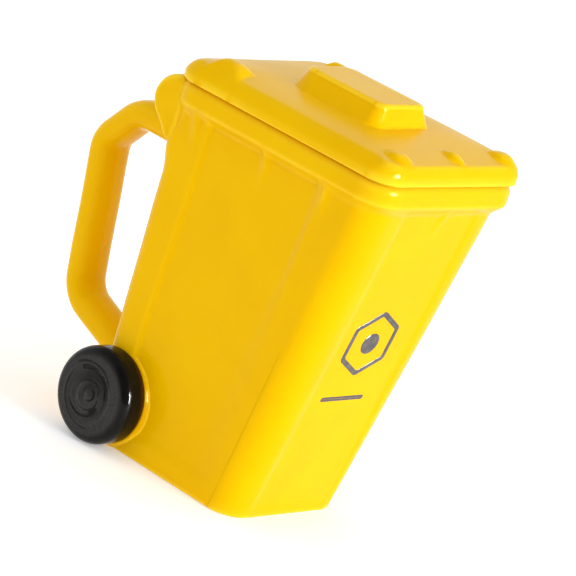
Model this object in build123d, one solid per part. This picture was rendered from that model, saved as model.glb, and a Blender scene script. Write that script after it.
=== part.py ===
"""Lidded ceramic mug shaped like a wheeled medical-waste bin.

Millimetres, +Z up. The origin is the centre of the flat foot. The sloping front with the mark
faces -Y and the loop handle stands out at +Y. The left side of the mug is -X.
"""
from build123d import *
import os

# ---------------------------------------------------------------- driving dimensions
# Hollow body: a tapered box whose front leans out and whose rear stands nearly upright.
FOOT_HALF_WIDTH = 24.3
FOOT_FRONT = -30.3
FOOT_REAR = 30.3
SHOULDER_Z = 102.8
SHOULDER_HALF_WIDTH = 28.2
SHOULDER_FRONT = -50.1
SHOULDER_REAR = 29.0
FRONT_CORNER_RADIUS = 9.0
REAR_CORNER_RADIUS = 5.5
FOOT_EDGE_RADIUS = 1.6

# Thick band round the mouth, on which the lid sits.
SEAM_Z = 110.0
BAND_HALF_WIDTH = 30.9
BAND_FRONT = -52.7
BAND_REAR = 30.6
BAND_FRONT_RADIUS = 11.5
BAND_REAR_RADIUS = 8.0
BAND_EDGE_RADIUS = 2.2

# Inside of the mug.
FLOOR_THICKNESS = 5.0
WALL_THICKNESS = 3.8
MOUTH_INSET = 4.4

# Relief moulded into the walls.
SIDE_PANEL_DEPTH = 0.7
SIDE_PANEL_BOTTOM_Z = 8.0
SIDE_PANEL_TOP_FRONT = -28.4
SIDE_PANEL_TOP_REAR = 13.4
SIDE_PANEL_FRONT_SLOPE = -0.068
SIDE_PANEL_REAR_SLOPE = -0.070
FRONT_RELIEF_X = -0.7
FRONT_PANEL_DEPTH = 0.4
FRONT_PANEL_TOP_HALF_WIDTH = 14.5
FRONT_PANEL_BOTTOM_HALF_WIDTH = 16.4
FRONT_PANEL_BOTTOM_Z = -8.0
GUSSET_YS = (-33.0, -9.0, 18.5)
GUSSET_WIDTH = 1.8
GUSSET_PROUD = 1.6
GUSSET_LENGTH = 11.0

# Loop handle: a rounded rectangular section along a centre line in the X = 0 plane.
HANDLE_WIDTH = 12.4
HANDLE_THICKNESS = 8.0
HANDLE_EDGE_RADIUS = 3.2
HANDLE_TOP_Z = 86.0
HANDLE_TOP_BEND = (61.4, HANDLE_TOP_Z)
HANDLE_UPPER_BEND = (71.9, 73.5)
HANDLE_LOWER_BEND = (65.8, 27.9)
HANDLE_FOOT_Z = 12.0
HANDLE_BEND_RADII = (9.0, 7.5, 8.0)
HANDLE_START_Y = 24.0

# Ears: flat cheeks behind the rear corners, under the lid.
EAR_OUTER_X = 28.0
EAR_THICKNESS = 9.0
EAR_OUTLINE = ((24.0, 90.1), (38.9, 101.3), (31.9, 109.6), (24.0, 109.6))
EAR_NOSE_RADIUS = 4.2
EAR_CORNER_RADIUS = 2.4

# Wheels: fixed discs on a low boss at each rear corner of the foot.
WHEEL_Y = 23.0
WHEEL_Z = 14.7
WHEEL_RADIUS = 14.3
WHEEL_INNER_X = 25.5
WHEEL_OUTER_X = 33.6
WHEEL_OUTER_EDGE = 3.2
WHEEL_INNER_EDGE = 0.8
WHEEL_RING_RADII = (7.2, 10.4)
WHEEL_RING_WIDTH = 0.9
WHEEL_RING_DEPTH = 0.35
BOSS_RADIUS = 14.7
BOSS_FLARE = 1.1
BOSS_ROOT_X = 24.3
BOSS_BOTTOM_Z = 0.2

# Fired transfers on the front: a plain hexagon with a dot, and a plain bar below it.
TRANSFER_THICKNESS = 0.12
MARK_Z = 58.3
MARK_RADIUS = 10.8
MARK_STROKE = 1.8
MARK_CORNER = 1.8
MARK_DOT_RADIUS = 3.4
POINT_UPWARDS = 30
BAR_Z = 40.0
BAR_LENGTH = 18.4
BAR_HEIGHT = 1.5

# Lid: a hipped, hollow cover with a raised grip, two rear bosses and three front ridges.
LID_HALF_WIDTH = 31.0
LID_FRONT = -52.6
LID_REAR = 30.8
LID_CORNER_RADIUS = 7.6
LID_SKIRT_TOP_Z = 112.4
LID_CREASE_Z = 116.1
LID_CREASE_INSET = 4.2
LID_CROWN_Z = 117.4
CROWN_HALF_WIDTH = 16.0
CROWN_FRONT = -31.0
CROWN_REAR = 9.6
CROWN_CORNER_RADIUS = 2.4
LID_SHELL = 3.4
LID_LOWER_EDGE_RADIUS = 0.9

GRIP_TOP_Z = 123.8
GRIP_BASE_HALF_WIDTH = 14.8
GRIP_BASE_FRONT = -29.4
GRIP_BASE_REAR = 7.6
GRIP_BASE_FRONT_RADIUS = 3.0
GRIP_BASE_REAR_RADIUS = 8.0
GRIP_TOP_HALF_WIDTH = 8.8
GRIP_TOP_FRONT = -27.0
GRIP_TOP_REAR = 2.0
GRIP_TOP_CORNER_RADIUS = 2.4
GRIP_EDGE_RADIUS = 1.0

REAR_BOSS_X = 24.2
REAR_BOSS_Y = 14.5
REAR_BOSS_WIDTH = 7.0
REAR_BOSS_LENGTH = 9.6
REAR_BOSS_TOP_Z = 118.8
RIDGE_XS = (-20.5, 0.0, 20.5)
RIDGE_WIDTHS = (8.0, 4.6, 8.0)
RIDGE_REAR = -40.0
RIDGE_FRONT = -50.0
RIDGE_TOP_Z = 117.2
RELIEF_EDGE_RADIUS = 1.3

# Locating ring under the lid, inside the mouth.
RING_CLEARANCE = 0.9
RING_THICKNESS = 3.0
RING_DEPTH = 5.5

CUTTER_REACH = 20.0

LEFT = -1
RIGHT = 1


# ---------------------------------------------------------------- shared shapes
def outline(half_width, front, rear, front_radius, rear_radius, height):
    """A four-sided outline at one height, its front and rear corners rounded separately."""
    corners = [(-half_width, front), (half_width, front), (half_width, rear), (-half_width, rear)]
    face = make_face(Polyline(*corners, close=True))
    face = fillet(face.vertices().group_by(Axis.Y)[0], front_radius)
    face = fillet(face.vertices().group_by(Axis.Y)[-1], rear_radius)
    return Pos(0, 0, height) * face


def wall_at(height):
    """Half width, front and rear of the body's outer wall at one height."""
    share = height / SHOULDER_Z
    half_width = FOOT_HALF_WIDTH + (SHOULDER_HALF_WIDTH - FOOT_HALF_WIDTH) * share
    front = FOOT_FRONT + (SHOULDER_FRONT - FOOT_FRONT) * share
    rear = FOOT_REAR + (SHOULDER_REAR - FOOT_REAR) * share
    return half_width, front, rear


def body_section(height, inset):
    """The body's outline at one height, moved inwards by inset."""
    half_width, front, rear = wall_at(height)
    return outline(
        half_width - inset,
        front + inset,
        rear - inset,
        FRONT_CORNER_RADIUS - inset * 0.5,
        REAR_CORNER_RADIUS - inset * 0.5,
        height,
    )


def band_section(height, inset):
    """The outline of the band at the mouth, moved inwards by inset."""
    return outline(
        BAND_HALF_WIDTH - inset,
        BAND_FRONT + inset,
        BAND_REAR - inset,
        BAND_FRONT_RADIUS - inset * 0.5,
        BAND_REAR_RADIUS - inset * 0.5,
        height,
    )


def lid_section(height, inset):
    """The outline of the lid at one height, moved inwards by inset."""
    radius = LID_CORNER_RADIUS - inset * 0.5
    return outline(
        LID_HALF_WIDTH - inset, LID_FRONT + inset, LID_REAR - inset, radius, radius, height
    )


def crown_section(height):
    """The outline of the lid's nearly flat crown, at one height."""
    return outline(
        CROWN_HALF_WIDTH,
        CROWN_FRONT,
        CROWN_REAR,
        CROWN_CORNER_RADIUS,
        CROWN_CORNER_RADIUS,
        height,
    )


def side_plane(depth):
    """The left wall's plane, moved inwards by depth. Its local Y runs up the wall."""
    slope = (SHOULDER_HALF_WIDTH - FOOT_HALF_WIDTH) / SHOULDER_Z
    return Plane(origin=(-FOOT_HALF_WIDTH + depth, 0, 0), x_dir=(0, -1, 0), z_dir=(-1, 0, -slope))


def front_plane(depth):
    """The front wall's plane, moved inwards by depth. Its local Y runs up the wall."""
    slope = (FOOT_FRONT - SHOULDER_FRONT) / SHOULDER_Z
    return Plane(origin=(0, FOOT_FRONT + depth, 0), x_dir=(1, 0, 0), z_dir=(0, -1, -slope))


def mirrored(shape):
    """The same shape on the other side of the X = 0 plane."""
    return mirror(shape, about=Plane.YZ)


# ---------------------------------------------------------------- the mug
def side_panel_cutter():
    """The shallow panel in the left wall, whose edges lean with the front."""
    rise = SHOULDER_Z - SIDE_PANEL_BOTTOM_Z
    points = [
        (-SIDE_PANEL_TOP_FRONT, SHOULDER_Z),
        (-SIDE_PANEL_TOP_REAR, SHOULDER_Z),
        (-(SIDE_PANEL_TOP_REAR - SIDE_PANEL_REAR_SLOPE * rise), SIDE_PANEL_BOTTOM_Z),
        (-(SIDE_PANEL_TOP_FRONT - SIDE_PANEL_FRONT_SLOPE * rise), SIDE_PANEL_BOTTOM_Z),
    ]
    panel = side_plane(SIDE_PANEL_DEPTH) * make_face(Polyline(*points, close=True))
    return extrude(panel, CUTTER_REACH)


def front_panel_cutter():
    """The shallow panel down the front, a little wider at the foot, off which it runs."""
    points = [
        (-FRONT_PANEL_TOP_HALF_WIDTH, SHOULDER_Z),
        (FRONT_PANEL_TOP_HALF_WIDTH, SHOULDER_Z),
        (FRONT_PANEL_BOTTOM_HALF_WIDTH, FRONT_PANEL_BOTTOM_Z),
        (-FRONT_PANEL_BOTTOM_HALF_WIDTH, FRONT_PANEL_BOTTOM_Z),
    ]
    place = front_plane(FRONT_PANEL_DEPTH) * Pos(FRONT_RELIEF_X, 0, 0)
    return extrude(place * make_face(Polyline(*points, close=True)), CUTTER_REACH)


def gusset(y):
    """A short tapering rib under the band, on the left wall at y."""
    foot_z = SHOULDER_Z - GUSSET_LENGTH
    root_x = -wall_at(foot_z)[0] + SIDE_PANEL_DEPTH
    points = [
        (root_x + WALL_THICKNESS / 2, foot_z),
        (root_x, foot_z),
        (-SHOULDER_HALF_WIDTH - GUSSET_PROUD, SHOULDER_Z),
        (-SHOULDER_HALF_WIDTH + WALL_THICKNESS / 2, SHOULDER_Z),
    ]
    profile = Plane.XZ * make_face(Polyline(*points, close=True))
    return Pos(0, y, 0) * extrude(profile, GUSSET_WIDTH / 2, both=True)


def mug_body():
    """The hollow slip-cast body with its band, wall relief and the step inside its mouth."""
    outer = loft([body_section(0, 0), body_section(SHOULDER_Z, 0)], ruled=True)
    outer = fillet(outer.faces().sort_by(Axis.Z)[0].edges(), FOOT_EDGE_RADIUS)
    outer -= side_panel_cutter()
    outer -= mirrored(side_panel_cutter())
    outer -= front_panel_cutter()
    for y in GUSSET_YS:
        outer += gusset(y)
        outer += mirrored(gusset(y))
    band = extrude(band_section(SHOULDER_Z, 0), SEAM_Z - SHOULDER_Z)
    band = fillet(band.faces().sort_by(Axis.Z)[0].edges(), BAND_EDGE_RADIUS)
    band = fillet(band.faces().sort_by(Axis.Z)[-1].edges(), BAND_EDGE_RADIUS)
    cavity = loft(
        [body_section(FLOOR_THICKNESS, WALL_THICKNESS), body_section(SHOULDER_Z, WALL_THICKNESS)],
        ruled=True,
    )
    cavity = fillet(cavity.faces().sort_by(Axis.Z)[0].edges(), FOOT_EDGE_RADIUS)
    mouth = extrude(band_section(SHOULDER_Z, MOUTH_INSET), SEAM_Z - SHOULDER_Z)
    return outer + band - cavity - mouth


def handle_loop(body):
    """The loop handle, its two ends cut off flush with the body's rear wall."""
    points = [
        (0, HANDLE_START_Y, HANDLE_TOP_Z),
        (0, *HANDLE_TOP_BEND),
        (0, *HANDLE_UPPER_BEND),
        (0, *HANDLE_LOWER_BEND),
        (0, HANDLE_START_Y, HANDLE_FOOT_Z),
    ]
    path = FilletPolyline(*points, radius=HANDLE_BEND_RADII)
    section = RectangleRounded(HANDLE_WIDTH, HANDLE_THICKNESS, HANDLE_EDGE_RADIUS)
    start = Plane(origin=points[0], x_dir=(1, 0, 0), z_dir=(0, 1, 0))
    loop = sweep(start * section, path=path)
    inside = loft([body_section(0, WALL_THICKNESS / 2), body_section(SEAM_Z, WALL_THICKNESS / 2)])
    return loop - body - inside


def left_ear(body):
    """The flat cheek behind the left rear corner, closed on to the body."""
    profile = make_face(Polyline(*EAR_OUTLINE, close=True))
    profile = fillet(profile.vertices().sort_by(Axis.X)[-1], EAR_NOSE_RADIUS)
    profile = fillet(profile.vertices().group_by(Axis.Y)[-1].sort_by(Axis.X)[-1], EAR_CORNER_RADIUS)
    plate = extrude(Plane.YZ.offset(-EAR_OUTER_X) * profile, EAR_THICKNESS)
    inside = loft([body_section(0, WALL_THICKNESS / 2), body_section(SEAM_Z, WALL_THICKNESS / 2)])
    return plate - body - inside


def left_wheel_boss(body):
    """The low round boss that the left wheel sits on, its foot trimmed above the ground."""
    depth = WHEEL_INNER_X - BOSS_ROOT_X + WALL_THICKNESS / 2
    at_wheel = Plane(origin=(-WHEEL_INNER_X, WHEEL_Y, WHEEL_Z), z_dir=(1, 0, 0))
    root = at_wheel.offset(depth) * Circle(BOSS_RADIUS + BOSS_FLARE)
    boss = loft([at_wheel * Circle(BOSS_RADIUS), root])
    inside = loft([body_section(0, WALL_THICKNESS / 2), body_section(SEAM_Z, WALL_THICKNESS / 2)])
    below = Pos(-WHEEL_INNER_X, WHEEL_Y, BOSS_BOTTOM_Z - CUTTER_REACH) * Box(
        CUTTER_REACH, 3 * CUTTER_REACH, 2 * CUTTER_REACH
    )
    return boss - body - inside - below


def left_wheel():
    """The left wheel: a thick disc with soft edges, two shallow rings and a centre nub."""
    at_wheel = Plane(origin=(-WHEEL_INNER_X, WHEEL_Y, WHEEL_Z), z_dir=(-1, 0, 0))
    thickness = WHEEL_OUTER_X - WHEEL_INNER_X
    disc = extrude(at_wheel * Circle(WHEEL_RADIUS), thickness)
    disc = fillet(disc.edges().sort_by(Axis.X)[0], WHEEL_OUTER_EDGE)
    disc = fillet(disc.edges().sort_by(Axis.X)[-1], WHEEL_INNER_EDGE)
    for radius in WHEEL_RING_RADII:
        ring = Circle(radius) - Circle(radius - WHEEL_RING_WIDTH)
        disc -= extrude(at_wheel.offset(thickness - WHEEL_RING_DEPTH) * ring, CUTTER_REACH)
    return disc


# ---------------------------------------------------------------- the transfers
def front_mark_transfer():
    """A plain hexagon outline with a dot, lying on the front panel."""
    centre = MARK_Z * front_length_per_height()
    outer = RegularPolygon(MARK_RADIUS, 6, rotation=POINT_UPWARDS)
    outer = fillet(outer.vertices(), MARK_CORNER)
    inner = RegularPolygon(MARK_RADIUS - MARK_STROKE, 6, rotation=POINT_UPWARDS)
    inner = fillet(inner.vertices(), MARK_CORNER / 2)
    mark = outer - inner + Circle(MARK_DOT_RADIUS)
    place = front_plane(FRONT_PANEL_DEPTH) * Pos(FRONT_RELIEF_X, centre, 0)
    return extrude(place * mark, TRANSFER_THICKNESS)


def front_bar_transfer():
    """A plain bar with round ends, lying on the front panel below the mark."""
    centre = BAR_Z * front_length_per_height()
    bar = SlotOverall(BAR_LENGTH, BAR_HEIGHT)
    place = front_plane(FRONT_PANEL_DEPTH) * Pos(FRONT_RELIEF_X, centre, 0)
    return extrude(place * bar, TRANSFER_THICKNESS)


def front_length_per_height():
    """How far one runs up the leaning front wall for each millimetre of height."""
    slope = (FOOT_FRONT - SHOULDER_FRONT) / SHOULDER_Z
    return (1 + slope**2) ** 0.5


# ---------------------------------------------------------------- the lid
def lid_shell():
    """The hipped cover with its rear bosses and front ridges, hollow underneath."""
    skirt = extrude(lid_section(SEAM_Z, 0), LID_SKIRT_TOP_Z - SEAM_Z)
    skirt = fillet(skirt.faces().sort_by(Axis.Z)[0].edges(), LID_LOWER_EDGE_RADIUS)
    bevel = loft([lid_section(LID_SKIRT_TOP_Z, 0), lid_section(LID_CREASE_Z, LID_CREASE_INSET)], ruled=True)
    crown = loft(
        [lid_section(LID_CREASE_Z, LID_CREASE_INSET), crown_section(LID_CROWN_Z)], ruled=True
    )
    cover = skirt + bevel + crown
    for side in (LEFT, RIGHT):
        height = REAR_BOSS_TOP_Z - LID_SKIRT_TOP_Z
        boss = Pos(side * REAR_BOSS_X, REAR_BOSS_Y, LID_SKIRT_TOP_Z + height / 2) * Box(
            REAR_BOSS_WIDTH, REAR_BOSS_LENGTH, height
        )
        cover += fillet(boss.faces().sort_by(Axis.Z)[-1].edges(), RELIEF_EDGE_RADIUS)
    for x, width in zip(RIDGE_XS, RIDGE_WIDTHS):
        height = RIDGE_TOP_Z - LID_SKIRT_TOP_Z
        length = RIDGE_REAR - RIDGE_FRONT
        ridge = Pos(x, RIDGE_FRONT + length / 2, LID_SKIRT_TOP_Z + height / 2) * Box(
            width, length, height
        )
        cover += fillet(ridge.faces().sort_by(Axis.Z)[-1].edges(), RELIEF_EDGE_RADIUS)
    ring_inner = MOUTH_INSET + RING_CLEARANCE + RING_THICKNESS
    hollow = loft(
        [band_section(SEAM_Z, ring_inner), crown_section(LID_CROWN_Z - LID_SHELL)], ruled=True
    )
    return cover - hollow


def lid_grip():
    """The hipped block on the lid's crown that fingers lift."""
    base = outline(
        GRIP_BASE_HALF_WIDTH,
        GRIP_BASE_FRONT,
        GRIP_BASE_REAR,
        GRIP_BASE_FRONT_RADIUS,
        GRIP_BASE_REAR_RADIUS,
        LID_CROWN_Z,
    )
    top = outline(
        GRIP_TOP_HALF_WIDTH,
        GRIP_TOP_FRONT,
        GRIP_TOP_REAR,
        GRIP_TOP_CORNER_RADIUS,
        GRIP_TOP_CORNER_RADIUS,
        GRIP_TOP_Z,
    )
    block = loft([base, top], ruled=True)
    return fillet(block.faces().sort_by(Axis.Z)[-1].edges(), GRIP_EDGE_RADIUS)


def lid_locating_ring():
    """The wall under the lid that drops into the mouth and keeps the lid in place."""
    outer_inset = MOUTH_INSET + RING_CLEARANCE
    outer = extrude(band_section(SEAM_Z - RING_DEPTH, outer_inset), RING_DEPTH)
    inner = extrude(band_section(SEAM_Z - RING_DEPTH, outer_inset + RING_THICKNESS), RING_DEPTH)
    return outer - inner


# ---------------------------------------------------------------- write the parts
def build():
    """Every sub-part by its node name."""
    body = mug_body()
    ear = left_ear(body)
    boss = left_wheel_boss(body)
    wheel = left_wheel()
    return {
        "mug_body": body,
        "handle_loop": handle_loop(body),
        "left_ear": ear,
        "right_ear": mirrored(ear),
        "left_wheel_boss": boss,
        "right_wheel_boss": mirrored(boss),
        "left_wheel": wheel,
        "right_wheel": mirrored(wheel),
        "front_mark_transfer": front_mark_transfer(),
        "front_bar_transfer": front_bar_transfer(),
        "lid_shell": lid_shell(),
        "lid_grip": lid_grip(),
        "lid_locating_ring": lid_locating_ring(),
    }


os.makedirs("parts", exist_ok=True)
for node, shape in build().items():
    export_step(shape, f"parts/{node}.step")
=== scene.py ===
"""Looks of a lidded, glazed ceramic mug shaped like a wheeled clinical waste bin.

Every piece is a lofted mesh with soft edges and real relief, takes the place of its CAD node and
rides on its CAD body. Lengths are millimetres in the part's own frame, +Z up, the front facing -Y,
and become metres when a mesh is made.
"""

import math

import bpy
import numpy as np
from mathutils import Matrix, Vector


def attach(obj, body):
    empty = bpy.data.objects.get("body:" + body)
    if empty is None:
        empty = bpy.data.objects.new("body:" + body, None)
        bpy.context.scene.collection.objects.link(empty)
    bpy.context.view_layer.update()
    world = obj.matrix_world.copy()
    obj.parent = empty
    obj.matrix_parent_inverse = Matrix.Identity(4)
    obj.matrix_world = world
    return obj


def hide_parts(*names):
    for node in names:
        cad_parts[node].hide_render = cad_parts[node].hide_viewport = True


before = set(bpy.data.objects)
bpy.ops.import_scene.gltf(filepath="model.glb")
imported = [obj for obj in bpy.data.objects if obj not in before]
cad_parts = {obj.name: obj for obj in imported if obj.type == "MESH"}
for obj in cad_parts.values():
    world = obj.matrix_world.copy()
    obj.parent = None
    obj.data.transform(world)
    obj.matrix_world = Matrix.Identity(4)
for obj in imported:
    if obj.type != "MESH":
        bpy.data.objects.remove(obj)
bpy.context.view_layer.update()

MM = 0.001
LEFT = "left"
RIGHT = "right"

# ---- dimensions, in millimetres
# An outline is (half width, front y, rear y, front corner radius, rear corner radius).
FOOT = np.array([24.3, -30.9, 30.3, 8.6, 5.5])
SHOULDER = np.array([28.2, -50.3, 29.0, 8.6, 5.5])
BAND = np.array([30.9, -52.7, 30.2, 9.4, 9.0])
SHOULDER_Z = 102.8
SEAM_Z = 109.8
WALL = 3.8
FLOOR_Z = 5.0
MOUTH_INSET = 4.4
RECESS_Z = 0.8
RECESS_INSET = 6.2
FOOT_RADIUS = 1.1
FLOOR_RADIUS = 4.0
SWELL_LOW_Z = 99.4
SWELL_HIGH_Z = 104.4
RIM_OUTER_RADIUS = 2.7
RIM_FLATTENING = 0.95
RIM_INNER_RADIUS = 0.9
NECK_HIGH_Z = 104.0
NECK_LOW_Z = 100.6
WIDER_RIGHT = 0.6

LID = np.array([31.0, -52.65, 30.6, 7.6, 8.4])


# ---- small maths
def smooth(value, start, end):
    """0 before start, 1 after end, with a soft S between. It falls if end is below start."""
    share = np.clip((value - start) / (end - start), 0.0, 1.0)
    return share * share * (3.0 - 2.0 * share)


def soft_min(a, b, softness):
    """The lower of two heights, rounded over where they cross."""
    share = np.clip(0.5 + 0.5 * (b - a) / softness, 0.0, 1.0)
    return b + (a - b) * share - softness * share * (1.0 - share)


def soft_max(a, b, softness):
    """The higher of two heights, filleted where they cross."""
    return -soft_min(-a, -b, softness)


def bump(value, centre, half_width):
    """A smooth hill of height 1 at centre, gone at half_width on each side."""
    share = np.clip(1.0 - ((value - centre) / half_width) ** 2, 0.0, 1.0)
    return share * share


def eased(start, end, count):
    """count places from start up to, but not including, end, closer together at both ends."""
    return start + (end - start) * (1.0 - np.cos(np.pi * np.arange(count) / count)) / 2.0


def even(start, end, count):
    """count evenly spaced places from start up to, but not including, end."""
    return start + (end - start) * np.arange(count) / count


def full_turn(count):
    """Angles all the way round."""
    return np.linspace(0.0, 2 * np.pi, count, endpoint=False)


def on_circle(angles):
    """Points on a circle of radius 1."""
    return np.column_stack([np.cos(angles), np.sin(angles)])


def blended(first, second, share):
    """Part of the way from the first to the second."""
    return first + (second - first) * share


def quarter(count):
    """A quarter turn in count angles, as pairs of 1 - sine and 1 - cosine."""
    turns = np.linspace(0.0, np.pi / 2, count)
    return [(1 - math.sin(turn), 1 - math.cos(turn)) for turn in turns]


def uneven_half(points):
    """The right half of the cast body is a little wider than its left half."""
    wider = points.copy()
    share = smooth(points[:, 0], 4.0, 24.0) * smooth(points[:, 2], 108.0, 96.0)
    wider[:, 0] += WIDER_RIGHT * share * smooth(points[:, 2], -10.0, 60.0)
    return wider


def hand_made(points):
    """The slow unevenness of a slip-cast wall, about a tenth of a millimetre."""
    x, y, z = points.T
    wave = np.sin(0.11 * x + 0.07 * z + 0.9) * np.cos(0.13 * y - 0.05 * z + 0.4)
    return 0.07 * wave + 0.04 * np.sin(0.23 * y + 0.19 * z - 0.17 * x + 2.1)


# ---- meshes
def make_object(name, points, faces):
    """A smooth-shaded mesh object from points in millimetres."""
    mesh = bpy.data.meshes.new(name)
    mesh.from_pydata((np.asarray(points) * MM).tolist(), [], faces)
    mesh.polygons.foreach_set("use_smooth", [True] * len(mesh.polygons))
    mesh.update()
    made = bpy.data.objects.new(name, mesh)
    bpy.context.scene.collection.objects.link(made)
    return made


def loft_faces(count, around, closed):
    """Quads between count rings of around points each. closed joins the last ring to the first."""
    faces = []
    for ring in range(count if closed else count - 1):
        low = ring * around
        high = (ring + 1) % count * around
        for i in range(around):
            j = (i + 1) % around
            faces.append((low + i, low + j, high + j, high + i))
    return faces


def loft(name, rings, closed=False, flip=False):
    """A skin over rings of points. An open one is capped by a fan at each end."""
    around = len(rings[0])
    points = list(np.concatenate(rings))
    faces = loft_faces(len(rings), around, closed)
    if not closed:
        first = len(points)
        points += [rings[0].mean(axis=0), rings[-1].mean(axis=0)]
        last = (len(rings) - 1) * around
        for i in range(around):
            j = (i + 1) % around
            faces.append((first, j, i))
            faces.append((first + 1, last + i, last + j))
    if flip:
        faces = [face[::-1] for face in faces]
    return make_object(name, points, faces)


def one_side(name, rings, side, flip=False):
    """A loft over the left side's rings, which are mirrored in the X = 0 plane for the right."""
    if side == RIGHT:
        rings = [ring * (-1.0, 1.0, 1.0) for ring in rings]
    return loft(f"{name}_{side}", rings, flip=flip != (side == RIGHT))


def set_attribute(piece, name, values):
    """A number for each point of the mesh, which its material reads."""
    attribute = piece.data.attributes.new(name, "FLOAT", "POINT")
    attribute.data.foreach_set("value", np.asarray(values, dtype=np.float32))


def rows_of(piece, what):
    """One row of three numbers for each point of the mesh: its co or its normal."""
    flat = np.zeros(len(piece.data.vertices) * 3)
    piece.data.vertices.foreach_get(what, flat)
    return flat.reshape(-1, 3)


def points_of(piece):
    """The mesh's points in millimetres."""
    return rows_of(piece, "co") / MM


POOLING_PASSES = 8
FULL_CURVATURE = 0.45
LEAST_AREA = 0.04
STEEPEST_COTANGENT = 5.0


def add_pooling(piece):
    """Where the glaze gathers: +1 in a tight hollow, -1 on a tight edge.

    It is the mesh's mean curvature by the cotangent rule, smoothed over each point's neighbours.
    It isn't reliable where the faces are tiny, and is left out there.
    """
    mesh = piece.data
    mesh.calc_loop_triangles()
    corners = np.zeros(len(mesh.loop_triangles) * 3, dtype=np.int64)
    mesh.loop_triangles.foreach_get("vertices", corners)
    corners = corners.reshape(-1, 3)
    points = points_of(piece)
    count = len(points)
    pull = np.zeros((count, 3))
    area = np.zeros(count)
    for turn in range(3):
        a, b, c = (corners[:, (turn + k) % 3] for k in range(3))
        to_b = points[b] - points[a]
        to_c = points[c] - points[a]
        double_area = np.maximum(np.linalg.norm(np.cross(to_b, to_c), axis=1), 1e-6)
        cotangent = (to_b * to_c).sum(axis=1) / double_area
        cotangent = np.clip(cotangent, -STEEPEST_COTANGENT, STEEPEST_COTANGENT)
        along = (points[c] - points[b]) * cotangent[:, None] / 2.0
        for axis in range(3):
            pull[:, axis] += np.bincount(b, along[:, axis], count)
            pull[:, axis] -= np.bincount(c, along[:, axis], count)
        area += np.bincount(a, double_area / 6.0, count)
    hollow = (pull * rows_of(piece, "normal")).sum(axis=1) / np.maximum(area, 1e-3) / 2.0
    hollow = np.where(area > LEAST_AREA, np.clip(hollow, -2.0, 2.0), 0.0)
    ends = np.concatenate([corners[:, [0, 1]], corners[:, [1, 2]], corners[:, [2, 0]]])
    ends = np.concatenate([ends, ends[:, ::-1]])
    share = np.bincount(ends[:, 0], minlength=count)
    for _ in range(POOLING_PASSES):
        near = np.bincount(ends[:, 0], hollow[ends[:, 1]], count) / np.maximum(share, 1)
        hollow = (hollow + near) / 2.0
    set_attribute(piece, "pool", np.clip(hollow / FULL_CURVATURE, -1.0, 1.0))


# ---- outlines of the mug and lid
def outline_ring(shape, height, stations):
    """Points round an outline at one height, anticlockwise from above, and their outward normals.

    stations holds the spacing: how many points on the front, rear and each corner, and the y of
    the places on the sides where points gather, with the number of points before each.
    """
    half_width, front, rear, front_radius, rear_radius = shape
    front_xs = even(-half_width + front_radius, half_width - front_radius, stations["front"])
    rear_xs = even(half_width - rear_radius, -half_width + rear_radius, stations["rear"])
    turn = even(0.0, np.pi / 2, stations["corner"])
    first, last = front + front_radius, rear - rear_radius
    breaks = np.clip([first, *stations["ys"], last], first, last)
    spans = list(zip(breaks, breaks[1:], stations["counts"]))
    up = np.concatenate([eased(a, b, n) for a, b, n in spans])
    down = np.concatenate([eased(b, a, n) for a, b, n in spans[::-1]])

    def straight(xs, ys, normal):
        place = np.column_stack(np.broadcast_arrays(xs, ys))
        return place, np.tile(normal, (len(place), 1))

    def corner(x, y, radius, start):
        out = on_circle(start + turn)
        return np.array([x, y]) + radius * out, out

    stretches = [
        straight(front_xs, front, (0.0, -1.0)),
        corner(half_width - front_radius, first, front_radius, -np.pi / 2),
        straight(half_width, up, (1.0, 0.0)),
        corner(half_width - rear_radius, last, rear_radius, 0.0),
        straight(rear_xs, rear, (0.0, 1.0)),
        corner(-half_width + rear_radius, last, rear_radius, np.pi / 2),
        straight(-half_width, down, (-1.0, 0.0)),
        corner(-half_width + front_radius, first, front_radius, np.pi),
    ]
    place, normal = (np.concatenate(part) for part in zip(*stretches))
    points = np.column_stack([place, np.full(len(place), float(height))])
    return points, np.column_stack([normal, np.zeros(len(normal))])


TIGHTENING = 0.6


def inset(shape, distance, least_radius=0.8):
    """An outline moved inwards, its corners getting tighter."""
    moved = shape + distance * np.array([-1.0, 1.0, -1.0, -TIGHTENING, -TIGHTENING])
    moved[3:] = np.maximum(moved[3:], least_radius)
    return moved


def wall_shape(height):
    """The outline of the body's outer wall at one height."""
    return FOOT + (SHOULDER - FOOT) * height / SHOULDER_Z


SIDE, FRONT, REAR = 0, 1, 2


def wall_flat(which, height):
    """How far out the flat of one wall is, before its relief."""
    return FOOT[which] + (SHOULDER[which] - FOOT[which]) * height / SHOULDER_Z


# ---- the mug body
SIDE_PANEL_DEPTH = 0.95
SIDE_PANEL_BOTTOM_Z = 8.0
STEP_WIDTH = 1.5
FRONT_PANEL_X = 0.9
FRONT_PANEL_HALF_WIDTH = 15.6
FRONT_PANEL_DEPTH = 0.4
EAR_FILLET = 1.3
# Each gusset: where its middle is at the shoulder, and how far that moves for each mm down.
SIDE_GUSSETS = ((-32.2, 0.10), (-8.2, 0.02), (19.4, -0.14))
SIDE_GUSSET_HEIGHT = 1.4
FRONT_GUSSET = (4.6, -0.36)
FRONT_GUSSET_HEIGHT = 0.45
GUSSET_LENGTH = 14.0
GUSSET_HALF_WIDTH = 2.3


def side_panel_edges(height):
    """The y of the front and rear edge of the side panel at one height."""
    drop = SHOULDER_Z - height
    return -28.4 + 0.068 * drop, 13.0 + 0.066 * drop


def body_stations(height):
    """Where points gather on the side walls: at the panel's edges and under the gussets."""
    panel_front, panel_rear = side_panel_edges(height)
    return {
        "front": 96,
        "rear": 44,
        "corner": 20,
        "ys": (-32.2, panel_front, -8.4, panel_rear, panel_rear + 4.6),
        "counts": (14, 9, 26, 26, 12, 9),
    }


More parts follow.
